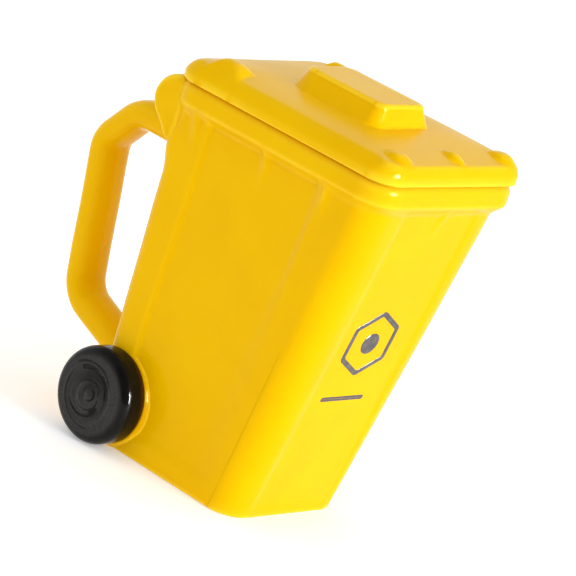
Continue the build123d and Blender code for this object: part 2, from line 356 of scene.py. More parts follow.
def gusset(height, across, z, top_z, middle, lean):
    """How far a web under the band stands out. It fades away downwards."""
    rise = smooth(z, SHOULDER_Z - GUSSET_LENGTH, top_z) ** 1.4
    return height * rise * bump(across, middle + lean * (SHOULDER_Z - z), GUSSET_HALF_WIDTH)


def wall_relief(points, normals):
    """How far the moulded relief moves the outer wall outwards."""
    x, y, z = points.T
    on_side = smooth(np.abs(normals[:, 0]), 0.5, 0.98)
    panel_front, panel_rear = side_panel_edges(z)
    ramp = 1.6 * STEP_WIDTH + 8.0 * smooth(z, 92.0, 25.0)
    panel = smooth(y, panel_front - STEP_WIDTH, panel_front - STEP_WIDTH + ramp)
    panel *= smooth(y, panel_rear + STEP_WIDTH, panel_rear - STEP_WIDTH / 2)
    panel *= smooth(z, SIDE_PANEL_BOTTOM_Z - 2 * STEP_WIDTH, SIDE_PANEL_BOTTOM_Z + STEP_WIDTH)
    out = -SIDE_PANEL_DEPTH * panel * on_side
    for middle, lean in SIDE_GUSSETS:
        out += gusset(SIDE_GUSSET_HEIGHT, y, z, SHOULDER_Z + 1.0, middle, lean) * on_side
    under_ear = smooth(z, 81.0, 91.0) * smooth(z, 98.0, 93.0) * smooth(np.abs(x), 13.0, 22.0)
    out += EAR_FILLET * under_ear * smooth(normals[:, 1], 0.1, 0.8)
    on_front = smooth(-normals[:, 1], 0.6, 0.99)
    half_width = FRONT_PANEL_HALF_WIDTH + 0.008 * (SHOULDER_Z - z)
    across = np.abs(x - FRONT_PANEL_X)
    front_panel = smooth(across, half_width + STEP_WIDTH, half_width - STEP_WIDTH)
    out -= FRONT_PANEL_DEPTH * front_panel * on_front
    return out + gusset(FRONT_GUSSET_HEIGHT, x, z, SHOULDER_Z, *FRONT_GUSSET) * on_front


def body_profile():
    """The body from the middle of its underside, up the outside, over the rim and down inside.

    Each step is an outline, a height, and how much of the wall's relief shows there.
    """
    steps = [(inset(FOOT, distance), RECESS_Z, 0.0) for distance in (20.0, 15.0, 11.0, 8.0, 6.6)]
    for share in np.linspace(0.0, 1.0, 5):
        shape = inset(FOOT, RECESS_INSET - share)
        steps.append((shape, RECESS_Z * (1 - smooth(share, 0, 1)), 0.0))
    steps.append((inset(FOOT, 3.6), 0.0, 0.0))
    for inwards, upwards in quarter(8):
        height = FOOT_RADIUS * upwards
        steps.append((inset(wall_shape(height), FOOT_RADIUS * inwards), height, 0.0))
    for height in np.concatenate([np.linspace(1.8, 14.0, 13), np.linspace(15.0, 88.0, 60)]):
        steps.append((wall_shape(height), height, float(smooth(height, FOOT_RADIUS, 5.0))))
    for height in np.linspace(88.7, 99.2, 17):
        steps.append((wall_shape(height), height, 1.0))
    for share in np.linspace(0.0, 1.0, 22):
        height = blended(SWELL_LOW_Z, SWELL_HIGH_Z, share)
        shape = blended(wall_shape(height), BAND, 1.0 - (1.0 - share**2.3) ** 2.1)
        steps.append((shape, height, float(smooth(share, 0.8, 0.1))))
    steps += [(BAND, height, 0.0) for height in (105.2, 106.0)]
    for downwards, inwards in quarter(12):
        shape = inset(BAND, RIM_OUTER_RADIUS * inwards * RIM_FLATTENING)
        steps.append((shape, SEAM_Z - RIM_OUTER_RADIUS * downwards, 0.0))
    for outwards, downwards in quarter(6):
        shape = inset(BAND, MOUTH_INSET - RIM_INNER_RADIUS * outwards)
        steps.append((shape, SEAM_Z - RIM_INNER_RADIUS * downwards, 0.0))
    mouth = inset(BAND, MOUTH_INSET)
    steps += [(mouth, height, 0.0) for height in (108.0, 106.8, 105.6, 104.6)]
    for share in np.linspace(0.0, 1.0, 7):
        height = blended(NECK_HIGH_Z, NECK_LOW_Z, share)
        inner = inset(wall_shape(height), WALL)
        steps.append((blended(mouth, inner, float(smooth(share, 0, 1))), height, 0.0))
    for height in np.linspace(99.0, FLOOR_Z + 4.5, 34):
        steps.append((inset(wall_shape(height), WALL), height, 0.0))
    for turn in np.linspace(0.1, np.pi / 2, 8):
        height = FLOOR_Z + FLOOR_RADIUS * (1 - math.sin(turn))
        distance = WALL + FLOOR_RADIUS * (1 - math.cos(turn))
        steps.append((inset(wall_shape(height), distance), height, 0.0))
    floor = wall_shape(FLOOR_Z)
    return steps + [(inset(floor, distance), FLOOR_Z, 0.0) for distance in (10.5, 13.5, 17.0, 20.0)]


def build_body():
    """The hollow body with its band, panels, gussets and foot ring."""
    rings = []
    for shape, height, relief in body_profile():
        points, normals = outline_ring(shape, height, body_stations(height))
        if relief > 0.0:
            points = points + normals * (relief * wall_relief(points, normals))[:, None]
        if 2.0 < height < 101.0:
            points = points + normals * hand_made(points)[:, None]
        rings.append(uneven_half(points))
    body = loft("body_shell", rings)
    z = points_of(body)[:, 2]
    on_foot = smooth(z, 0.35, 0.05)
    on_rim = smooth(z, SEAM_Z - 0.05, SEAM_Z - 0.01)
    set_attribute(body, "bare", np.maximum(on_foot, on_rim))
    return body


# ---- paths and fillets in a plane
def filleted(corners, radii, spacing=0.5, closed=False):
    """Points and unit tangents along straight runs joined by tangent arcs."""
    corners = [np.array(corner, dtype=float) for corner in corners]
    arcs = []
    for i, radius in zip(range(0 if closed else 1, len(corners)), radii):
        before, here, after = corners[i - 1], corners[i], corners[(i + 1) % len(corners)]
        come = (here - before) / np.linalg.norm(here - before)
        leave = (after - here) / np.linalg.norm(after - here)
        angle = math.atan2(come[0] * leave[1] - come[1] * leave[0], float(come @ leave))
        reach = radius * math.tan(abs(angle) / 2)
        inwards = math.copysign(radius, angle) * np.array([-come[1], come[0]])
        begin, end = here - come * reach, here + leave * reach
        arcs.append((begin, end, begin + inwards, radius, angle, come))
    places, tangents = [], []

    def run(start, end):
        length = np.linalg.norm(end - start)
        steps = max(int(length / spacing), 1)
        places.extend(start + (end - start) * k / steps for k in range(steps))
        tangents.extend([(end - start) / max(length, 1e-9)] * steps)

    start = arcs[-1][1] if closed else corners[0]
    for begin, end, centre, radius, angle, come in arcs:
        run(start, begin)
        steps = max(int(abs(angle) * radius / spacing), 6)
        for turn in (angle * k / steps for k in range(steps)):
            spin = np.array([[math.cos(turn), -math.sin(turn)], [math.sin(turn), math.cos(turn)]])
            places.append(centre + spin @ (begin - centre))
            tangents.append(spin @ come)
        start = end
    if not closed:
        run(start, corners[-1])
        places.append(corners[-1])
        tangents.append(tangents[-1])
    return np.array(places), np.array(tangents)


# ---- the handle
HANDLE_CORNERS = ((27.0, 85.6), (61.3, 86.0), (71.7, 73.6), (65.1, 26.9), (27.0, 12.8))
HANDLE_BENDS = (9.0, 7.5, 9.5)
HANDLE_HALF_WIDTH = 6.6
HANDLE_HALF_THICKNESS = 4.45
HANDLE_SQUARENESS = (2.15, 2.7)
HANDLE_ROOT_REACH = 7.0
HANDLE_ROOT_SWELL = 1.9
HANDLE_FILLET = 19.0
HANDLE_POINTS = 72


def superellipse(angles):
    """Shares of the bar's half width and half thickness, squarer on the outer side."""
    inner, outer = HANDLE_SQUARENESS
    power = 2.0 / np.where(np.sin(angles) > 0, outer, inner)
    across = np.sign(np.cos(angles)) * np.abs(np.cos(angles)) ** power
    return across, np.sign(np.sin(angles)) * np.abs(np.sin(angles)) ** power


def build_handle():
    """The loop handle: a soft oval bar that swells where it is luted to the body."""
    places, tangents = filleted(HANDLE_CORNERS, HANDLE_BENDS)
    across, outwards = superellipse(full_turn(HANDLE_POINTS))
    is_outer = outwards > 0
    rings = []
    for (y, z), (along_y, along_z) in zip(places, tangents):
        from_wall = y - wall_flat(REAR, z)
        swell = HANDLE_ROOT_SWELL * (1.0 - np.clip(from_wall / HANDLE_ROOT_REACH, 0.0, 1.0)) ** 2.4
        near = 1.0 - min(max(from_wall / HANDLE_FILLET, 0.02), 1.0)
        fillet = HANDLE_FILLET * (1.0 - math.sqrt(1.0 - near**2)) * smooth(z, 50.0, 75.0)
        x = across * (HANDLE_HALF_WIDTH + 0.6 * swell + 0.1 * fillet)
        depth = HANDLE_HALF_THICKNESS + swell * np.where(is_outer, 0.35, 1.0)
        lift = outwards * (depth + fillet * np.where(is_outer, 0.0, 0.65))
        ring = np.column_stack([x, y - along_z * lift, z + along_y * lift])
        middle = np.array([0.0, y, z])
        rings.append(middle + (ring - middle) * (1.0 + 0.25 * hand_made(ring)[:, None]))
    return loft("handle_bar", rings, flip=True)


# ---- the ears
EAR_OUTLINE = (
    (26.1, 98.0), (26.2, 95.0), (26.7, 92.2), (28.2, 90.6), (30.1, 91.0), (31.8, 92.8), (34.1, 95.2),
    (36.2, 97.3), (37.5, 100.2), (37.5, 103.0), (36.0, 106.2), (33.4, 108.5), (30.6, 109.5),
    (28.4, 109.2), (26.8, 107.4), (26.1, 103.0),
)
EAR_THICKNESS = 9.0
EAR_EDGE = 1.6
EAR_SINK = 0.10


def curve_through(points, count):
    """A smooth closed curve through points, as count points and outward normals in the plane."""
    points = np.array(points, dtype=float)
    number = len(points)
    places = []
    for share in np.linspace(0.0, number, count, endpoint=False):
        i, t = int(share), share - int(share)
        a, b, c, d = (points[(i + k - 1) % number] for k in range(4))
        places.append(
            0.5 * (2 * b + (c - a) * t + (2 * a - 5 * b + 4 * c - d) * t**2
                   + (3 * b - 3 * c + d - a) * t**3)
        )
    places = np.array(places)
    ahead = np.roll(places, -1, axis=0) - np.roll(places, 1, axis=0)
    ahead /= np.linalg.norm(ahead, axis=1)[:, None]
    return places, np.column_stack([ahead[:, 1], -ahead[:, 0]])


def build_ear(side):
    """A flat cheek behind a rear corner, flush with the side wall, with soft edges."""
    places, out = curve_through(EAR_OUTLINE, 220)
    middle = places.mean(axis=0)
    deep = EAR_THICKNESS - EAR_EDGE
    flats = [blended(middle, places - out * EAR_EDGE, share) for share in (0.12, 0.45, 0.7, 0.88)]
    steps = [(flat, 0.0) for flat in flats]
    steps += [(places - out * EAR_EDGE * a, EAR_EDGE * b) for a, b in quarter(9)]
    steps += [(places, depth) for depth in np.linspace(EAR_EDGE + 0.8, deep - 0.8, 7)]
    steps += [(places - out * EAR_EDGE * b, EAR_THICKNESS - EAR_EDGE * a) for a, b in quarter(9)]
    steps += [(flat, EAR_THICKNESS) for flat in flats[::-1]]
    rings = []
    for place, depth in steps:
        ring = np.column_stack([-wall_flat(SIDE, place[:, 1]), place])
        ring[:, 0] += EAR_SINK + depth - hand_made(ring)
        rings.append(ring)
    return one_side("ear_cheek", rings, side)


# ---- wheels and their bosses
WHEEL_Y = 23.0
WHEEL_Z = 14.4
WHEEL_RADIUS = 14.2
WHEEL_INNER_X = 25.2
WHEEL_OUTER_X = 33.6
WHEEL_EDGE = 3.4
WHEEL_CANT = 0.035
WHEEL_ROOT_EDGE = 0.8
FACE_RINGS = 62
FACE_HIGHEST = 0.35
DEEPEST_LINE = 0.16
GROUND_GAP = 0.15
BOSS_REACH = 1.0
BOSS_SINK = 0.12


def ring_on_axle(out, radius, angles):
    """A ring round the left wheel's axle, a distance out along -X."""
    y = WHEEL_Y + radius * np.cos(angles)
    z = WHEEL_Z + radius * np.sin(angles)
    return np.column_stack([np.zeros(len(angles)) - out, y, z])


def round_axle(points):
    """Each point's distance from the wheel's axle, and its angle round it."""
    y, z = points[:, 1] - WHEEL_Y, points[:, 2] - WHEEL_Z
    return np.hypot(y, z), np.arctan2(z, y)


# Each arc: first and last angle in degrees, first and last radius, half width, depth.
BRUSH_ARCS = (
    (48.0, 178.0, 8.4, 5.9, 0.95, 1.0),
    (40.0, 150.0, 10.4, 7.9, 0.45, 0.8),
    (215.0, 340.0, 5.2, 7.8, 0.55, 0.9),
    (205.0, 262.0, 4.6, 5.0, 1.0, 0.9),
    (180.0, 330.0, 3.6, 4.9, 0.4, 0.6),
    (20.0, 170.0, 4.8, 3.4, 0.35, 0.5),
    (100.0, 300.0, 1.9, 1.5, 0.45, 0.8),
    (250.0, 400.0, 9.6, 9.0, 0.4, 0.35),
)


def brushed_face(points):
    """How far the wheel's face stands out: soft steps, a nub, and the strokes of the brush."""
    radius, angle = round_axle(points)
    dish = -0.40 * smooth(radius, 8.2, 6.6) * (0.6 + 0.4 * np.cos(angle - 1.9))
    dish += 0.42 * smooth(radius, 6.4, 3.6) * (0.55 + 0.45 * np.cos(angle + 1.2))
    dish -= 0.30 * bump(radius, 2.6, 1.5) * (0.5 + 0.5 * np.cos(angle + 0.4))
    nub = 0.5 * np.exp(-((radius / 0.85) ** 2))
    stroke = np.sin(radius * 2.1 - angle + 0.9 * np.sin(angle * 2 + 0.5))
    spiral = 0.11 * stroke * (0.55 + 0.45 * np.sin(angle + 2.2))
    spiral += 0.03 * np.sin(radius * 4.7 - angle * 2 + 1.0)
    face = dish + nub + spiral * smooth(radius, 0.8, 2.5) * smooth(radius, 11.2, 9.5)
    return face - DEEPEST_LINE * brush_lines(radius, angle)


def brush_lines(radius, angle):
    """The deepest lines that the brush left: each an arc that winds inwards."""
    lines = np.zeros(len(radius))
    for first, last, first_radius, last_radius, half_width, depth in BRUSH_ARCS:
        turned = np.mod(np.degrees(angle) - first, 360.0)
        share = np.clip(turned / (last - first), 0.0, 1.0)
        middle = first_radius + (last_radius - first_radius) * share
        ends = smooth(turned, -0.1, 9.0) * smooth(turned, last - first, last - first - 30.0)
        lines = np.maximum(lines, depth * ends * bump(radius, middle, half_width))
    return lines


def wheel_profile():
    """Distance out along the axle and radius, from the middle of the root to the face's middle."""
    tread_end = WHEEL_OUTER_X - WHEEL_EDGE
    profile = [(WHEEL_INNER_X, radius) for radius in (4.0, 8.0, 11.0, 13.0)]
    for inwards, outwards in quarter(5):
        x = WHEEL_INNER_X + WHEEL_ROOT_EDGE * outwards
        profile.append((x, WHEEL_RADIUS - WHEEL_ROOT_EDGE * inwards))
    for share in np.linspace(0.0, 1.0, 12)[1:-1]:
        profile.append((blended(WHEEL_INNER_X + WHEEL_ROOT_EDGE, tread_end, share), WHEEL_RADIUS))
    for back, inwards in quarter(14):
        profile.append((WHEEL_OUTER_X - WHEEL_EDGE * back, WHEEL_RADIUS - WHEEL_EDGE * inwards))
    face = np.linspace(WHEEL_RADIUS - WHEEL_EDGE - 0.15, 0.12, FACE_RINGS)
    return profile + [(WHEEL_OUTER_X, radius) for radius in face]


def build_wheel(side):
    """A solid disc brushed with black glaze, in one lump with the mug."""
    angles = full_turn(200)
    axle = np.array([0.0, WHEEL_Y, WHEEL_Z])
    profile = wheel_profile()
    rings = []
    for x, radius in profile:
        ring = ring_on_axle(x, radius, angles) - axle
        uneven = 1.0 + 0.006 * np.sin(np.arctan2(ring[:, 2], ring[:, 1]) * 3 + 1.2)
        ring[:, 1:] *= uneven[:, None]
        ring += axle
        if len(rings) >= len(profile) - FACE_RINGS:
            ring[:, 0] -= np.minimum(brushed_face(ring), FACE_HIGHEST)
        cant = WHEEL_CANT * (WHEEL_Z - ring[:, 2])
        ring[:, 0] -= cant * smooth(-ring[:, 0], WHEEL_INNER_X, WHEEL_OUTER_X)
        rings.append(ring)
    wheel = one_side("wheel", rings, side)
    place = points_of(wheel)
    out = np.abs(place[:, 0])
    radius, angle = round_axle(place)
    set_attribute(wheel, "thin", smooth(out + 0.25 * np.sin(angle * 4 + 0.4), 28.6, 25.6))
    set_attribute(wheel, "brushed", smooth(out, 30.0, 32.0) * smooth(radius, 12.6, 10.8))
    # Painted shade and painted reflection: the stroke number paints the brush lines and low parts of
    # the face darker and its raised strokes lighter, as their gloss would show them
    stroke = 0.72 + 0.9 * brushed_face(place) - 1.2 * brush_lines(radius, angle)
    set_attribute(wheel, "stroke", np.clip(stroke, 0.0, 1.0))
    return wheel


def build_boss(side):
    """The low boss under a wheel, which flares on to the side wall like a run of slip."""
    angles = full_turn(180)
    outwards = np.tile((-1.0, 0.0, 0.0), (len(angles), 1))
    rings = [ring_on_axle(WHEEL_INNER_X + 0.1, radius, angles) for radius in (5.0, 10.0, 13.4)]
    rings.append(ring_on_axle(WHEEL_INNER_X + 0.05, 13.8, angles))
    over_wall = smooth(np.cos(angles), 0.45, -0.15)
    start = 13.9 + 0.35 * over_wall
    reach = (BOSS_REACH + 0.2 * np.sin(angles * 2 + 0.8)) * over_wall
    for share in np.linspace(0.0, 1.0, 14):
        ring = ring_on_axle(0.0, start + reach * share, angles)
        wall = wall_flat(SIDE, ring[:, 2])
        ring[:, 0] = -wall
        wall = wall + wall_relief(ring, outwards) + hand_made(ring) - BOSS_SINK
        ring[:, 0] = -blended(wall, WHEEL_INNER_X + 0.15, (1.0 - share) ** 2.0)
        rings.append(ring)
    for x, share in ((22.6, 1.0), (22.3, 0.9), (22.25, 0.5)):
        rings.append(ring_on_axle(x, (start + reach) * share, angles))
    for ring in rings:
        ring[:, 2] = np.maximum(ring[:, 2], GROUND_GAP)
    return one_side("wheel_boss", rings, side, flip=True)


# ---- the transfers
MARK_X = -0.7
MARK_Z = 58.3
MARK_RADIUS = 10.8
MARK_STROKE = 1.8
MARK_CORNER = 1.8
MARK_POINTS = 240
DOT_RADIUS = 3.4
BAR_Z = 40.0
BAR_HALF_LENGTH = 9.2
BAR_HALF_HEIGHT = 0.75
BAR_POINTS = 160
# Across the ink from its outer to its inner edge: share of the way, and height over the glaze.
INK_SECTION = (
    (0.0, -0.04), (0.0, 0.03), (0.12, 0.08), (0.5, 0.1), (0.88, 0.08), (1.0, 0.03), (1.0, -0.04),
)


def on_front(points):
    """Flat (across, height) points laid on the leaning front panel."""
    y = wall_flat(FRONT, points[:, 1]) + FRONT_PANEL_DEPTH
    laid = np.column_stack([MARK_X + points[:, 0], y, points[:, 1]])
    laid[:, 1] -= hand_made(laid)
    return laid


def ink_rings(outer, inner):
    """A low cushion of ink between two closed curves of the same number of points."""
    rings = []
    for share, height in INK_SECTION:
        ring = on_front(blended(outer, inner, share))
        ring[:, 1] -= height
        rings.append(ring)
    return rings


def hexagon(radius, corner):
    """A rounded hexagon with a point at the top."""
    corners = radius * on_circle(np.radians(np.arange(30, 390, 60)))
    return filleted(corners, [corner] * 6, spacing=0.3, closed=True)[0]


def resampled(places, count):
    """The same closed curve with count evenly spaced points, starting nearest to +X."""
    ahead = np.roll(places, -1, axis=0)
    lengths = np.linalg.norm(ahead - places, axis=1)
    along = np.concatenate([[0.0], np.cumsum(lengths)])
    loop = np.vstack([places, places[:1]])
    wanted = np.linspace(0.0, along[-1], count, endpoint=False)
    evenly = np.column_stack([np.interp(wanted, along, loop[:, k]) for k in range(2)])
    start = int(np.argmin(np.abs(np.arctan2(evenly[:, 1], evenly[:, 0]))))
    return np.roll(evenly, -start, axis=0)


def build_mark():
    """The plain fired mark: a hexagon outline round a dot."""
    lift = np.array([0.0, MARK_Z])
    outer = resampled(hexagon(MARK_RADIUS, MARK_CORNER), MARK_POINTS)
    inner = resampled(hexagon(MARK_RADIUS - MARK_STROKE, MARK_CORNER / 2), MARK_POINTS)
    hexagon_rings = ink_rings(outer + lift, inner + lift)
    circle = on_circle(full_turn(MARK_POINTS))
    dot_rings = ink_rings(circle * DOT_RADIUS + lift, circle * 0.05 + lift)
    faces = loft_faces(len(INK_SECTION), MARK_POINTS, False)
    offset = len(INK_SECTION) * MARK_POINTS
    faces += [tuple(offset + i for i in face) for face in faces]
    return make_object("fired_mark", np.concatenate(hexagon_rings + dot_rings), faces)


def build_bar():
    """The plain fired bar below the mark, with round ends."""
    circle = on_circle(full_turn(BAR_POINTS))
    reach = BAR_HALF_LENGTH - BAR_HALF_HEIGHT
    inner = np.column_stack([np.where(circle[:, 0] >= 0, reach, -reach), np.zeros(BAR_POINTS)])
    outer = inner + BAR_HALF_HEIGHT * circle
    lift = np.array([0.0, BAR_Z])
    rings = ink_rings(outer + lift, blended(outer, inner, 0.96) + lift)
    return make_object("fired_bar", np.concatenate(rings), loft_faces(len(rings), BAR_POINTS, False))


# ---- the lid
LID_WARP = 0.10
LID_SEAT_GAP = 0.10
LID_LIP = 0.6
LID_HOLLOW_Z = 113.9
LEVEL_FROM_Z = 115.0
LID_HIGHEST_Z = 117.85
# The roof over each edge: lowest height, rise, how far inside the edge it starts, and its reach.
LEFT_EAVES = (116.1, 2.4, 4.2, 14.0)
RIGHT_EAVES = (116.35, 1.7, 4.2, 7.0)
FRONT_EAVES = (115.45, 3.4, 1.4, 20.0)
REAR_EAVES = (115.6, 2.5, 2.6, 9.0)
# Each front ridge: its x and half width.
RIDGES = ((-21.4, 3.3), (2.3, 2.3), (24.0, 3.3))
RIDGE_TOP_Z = 117.75
RIDGE_TOP_Y = -46.6
HUMP_X = 24.4
FAR_HUMP_SHIFT = 2.6
HUMP_TOP_Z = 119.2
HUMP_REAR_Y = 19.6
HUMP_FRONT_Y = 14.2
LID_STATIONS = {"front": 120, "rear": 56, "corner": 18, "ys": (8.0, 20.5), "counts": (56, 36, 10)}


def lid_edge(normals):
    """Height of the lid's vertical skirt, and steepness of the slope above it, round the edge."""
    to_front = smooth(-normals[:, 1], 0.15, 0.95)
    to_rear = smooth(normals[:, 1], 0.15, 0.95)
    skirt = 112.1 + 0.5 * to_front + 0.2 * to_rear
    slope = 0.94 + 1.5 * to_front + 0.45 * to_rear
    return skirt, slope


def levelling(inside, low, rise, start, reach):
    """Height of the roof a distance inside one edge, levelling off towards the middle."""
    return low + rise * (1.0 - np.exp(-(inside - start) / reach))


def lid_height(x, y, distance, skirt, slope):
    """Height of the lid's top at x, y, which is distance inside its edge."""
    edge = skirt + slope * distance + 0.8 * (1.0 - np.exp(-distance / 0.5))
    from_side = LID[0] - np.abs(x)
    left, right = levelling(from_side, *LEFT_EAVES), levelling(from_side, *RIGHT_EAVES)
    side = blended(left, right, smooth(x, -6.0, 6.0))
    front = levelling(y - LID[1], *FRONT_EAVES)
    rear = levelling(LID[2] - y, *REAR_EAVES)
    roof = soft_min(soft_min(side, front, 0.7), soft_min(rear, LID_HIGHEST_Z, 0.5), 0.4)
    for ridge_x, half_width in RIDGES:
        along = y - RIDGE_TOP_Y
        crest = RIDGE_TOP_Z - 0.055 * np.clip(along, 0, None) ** 2
        crest = crest - 0.115 * np.clip(-along, 0, None) ** 2
        flank = crest + 1.1 * (half_width - np.abs(x - ridge_x)) - 1.3
        roof = soft_max(roof, soft_min(crest, flank, 1.6), 0.5)
    along = y - (HUMP_REAR_Y + HUMP_FRONT_Y) / 2
    inner = HUMP_TOP_Z - 1.1 * (HUMP_X + np.where(x > 0.0, FAR_HUMP_SHIFT, 0.0) - 3.4 - np.abs(x))
    nose = HUMP_TOP_Z + 0.80 * (y - HUMP_FRONT_Y + 0.8)
    heel = HUMP_TOP_Z - 1.1 * (y - HUMP_REAR_Y)
    hump = soft_min(soft_min(HUMP_TOP_Z - 0.02 * along**2, inner, 1.6), soft_min(nose, heel, 1.6), 1.6)
    roof = soft_max(roof, hump, 0.8)
    return soft_min(edge, roof, 1.5 + 0.7 * np.clip(slope - 0.94, 0.0, 1.5))


def warp(points):
    """How far the lid's lower edge has lifted in the kiln: not at all along the front."""
    return LID_WARP * smooth(points[:, 1], -51.0, -36.0)


def lid_ring(distance, height=0.0, least_radius=0.8):
    """A ring of points of the lid at one height, moved in from its edge."""
    return outline_ring(inset(LID, distance, least_radius), height, LID_STATIONS)[0]


def build_lid():
    """The hollow cover: rounded skirt, slanted sides, nearly flat top, rear humps, front ridges."""
    seat_z = SEAM_Z + LID_SEAT_GAP
    rings = [lid_ring(distance, LID_HOLLOW_Z) for distance in (26.0, 22.0, 18.0)]
    for share in np.linspace(0.0, 1.0, 9):
        height = blended(LID_HOLLOW_Z, seat_z, smooth(share, 0.0, 1.0))
        rings.append(lid_ring(14.0 - 5.0 * share, height))
    rings += [lid_ring(distance, seat_z) for distance in (7.5, 5.8, 4.6)]
    for distance in (3.4, 2.4, 1.6):
        ring = lid_ring(distance, seat_z)
        ring[:, 2] += warp(ring) * smooth(distance, 4.6, 1.0)
        rings.append(ring)
    for inwards, upwards in quarter(9):
        ring = lid_ring(LID_LIP * inwards, seat_z + LID_LIP * upwards, 4.0)
        ring[:, 2] += warp(ring)
        rings.append(ring)
    edge_points, normals = outline_ring(LID, 0.0, LID_STATIONS)
    skirt, slope = lid_edge(normals)
    lowest = seat_z + LID_LIP + warp(edge_points)
    for share in (0.35, 0.7, 1.0):
        ring = edge_points.copy()
        ring[:, 2] = blended(lowest, skirt, share)
        rings.append(ring)
    spans = ((0.04, 0.4, 5), (0.55, 6.0, 26), (6.4, 14.0, 20), (14.8, 22.0, 9))
    for distance in np.concatenate([np.linspace(*span) for span in spans]):
        ring = lid_ring(distance)
        ring[:, 2] = lid_height(ring[:, 0], ring[:, 1], distance, skirt, slope)
        ring[:, 2] += 0.8 * hand_made(ring) * smooth(distance, 1.0, 5.0)
        rings.append(ring)
    lid = loft("lid_cover", rings)
    z = points_of(lid)[:, 2]
    set_attribute(lid, "bare", smooth(z, seat_z + 0.04, seat_z + 0.01))
    upright = smooth(rows_of(lid, "normal")[:, 2], 0.88, 0.96)
    set_attribute(lid, "level", upright * (z > LEVEL_FROM_Z))
    return lid


GRIP_BASE = np.array([13.7, -29.3, 8.2, 4.6, 12.0])
GRIP_TOP = np.array([9.1, -27.3, 2.2, 2.7, 3.0])
GRIP_BASE_Z = 117.5
GRIP_TOP_Z = 123.8
GRIP_EDGE = 1.3
GRIP_STATIONS = {"front": 40, "rear": 30, "corner": 20, "ys": (), "counts": (56,)}


def build_grip():
    """The hipped block that lifts the lid, filleted into the lid's top."""
    below = GRIP_BASE + (0.5, -0.5, 0.5, 0.3, 0.3)
    profile = [(inset(GRIP_BASE, 5.0), GRIP_BASE_Z - 1.4)]
    profile += [(below, GRIP_BASE_Z - 1.2), (below, GRIP_BASE_Z - 0.5)]
    rise = GRIP_TOP_Z - GRIP_EDGE - GRIP_BASE_Z
    last = blended(GRIP_BASE, GRIP_TOP, rise / (rise + GRIP_EDGE))
    for share in np.linspace(0.0, 1.0, 30) ** 1.5:
        out = 0.18 * (1.0 - math.exp(-share / 0.07)) + 0.82 * share
        shape = blended(GRIP_BASE, GRIP_TOP, out * rise / (rise + GRIP_EDGE))
        profile.append((shape, GRIP_BASE_Z + rise * share))
    for down, inwards in quarter(11)[1:]:
        profile.append((blended(last, inset(GRIP_TOP, 0.9), inwards), GRIP_TOP_Z - GRIP_EDGE * down))
    profile += [(inset(GRIP_TOP, distance), GRIP_TOP_Z) for distance in (1.8, 3.2, 5.0, 7.2)]
    rings = [outline_ring(shape, height, GRIP_STATIONS)[0] for shape, height in profile]
    for ring in rings:
        ring[:, 2] += 0.3 * hand_made(ring) * smooth(ring[:, 2], 118.0, 121.0)
        ring[:, 2] = np.minimum(ring[:, 2], GRIP_TOP_Z)
    return loft("lid_grip_block", rings)


RING_OUTER_INSET = 5.3
RING_THICKNESS = 3.0
RING_BOTTOM_Z = 104.5
RING_TOP_Z = 111.2


def build_ring():
    """The wall under the lid that drops into the mouth, with a rounded lower edge."""
    outer = inset(BAND, RING_OUTER_INSET)
    inner = inset(BAND, RING_OUTER_INSET + RING_THICKNESS)
    heights = (RING_TOP_Z, 110.2, 109.0, 107.0)
    profile = [(blended(outer, inner, 0.5), RING_TOP_Z)] + [(outer, height) for height in heights]
    for turn in np.linspace(0.0, np.pi, 15):
        shape = blended(outer, inner, (1 - math.cos(turn)) / 2)
        profile.append((shape, RING_BOTTOM_Z + RING_THICKNESS / 2 * (1 - math.sin(turn))))
    profile += [(inner, height) for height in heights[::-1]]
    rings = [outline_ring(shape, height, LID_STATIONS)[0] for shape, height in profile]
    ring = loft("lid_locating_wall", rings, closed=True, flip=True)
    z = points_of(ring)[:, 2]
    set_attribute(ring, "bare", smooth(z, RING_BOTTOM_Z + 0.9, RING_BOTTOM_Z + 0.2))
    return ring


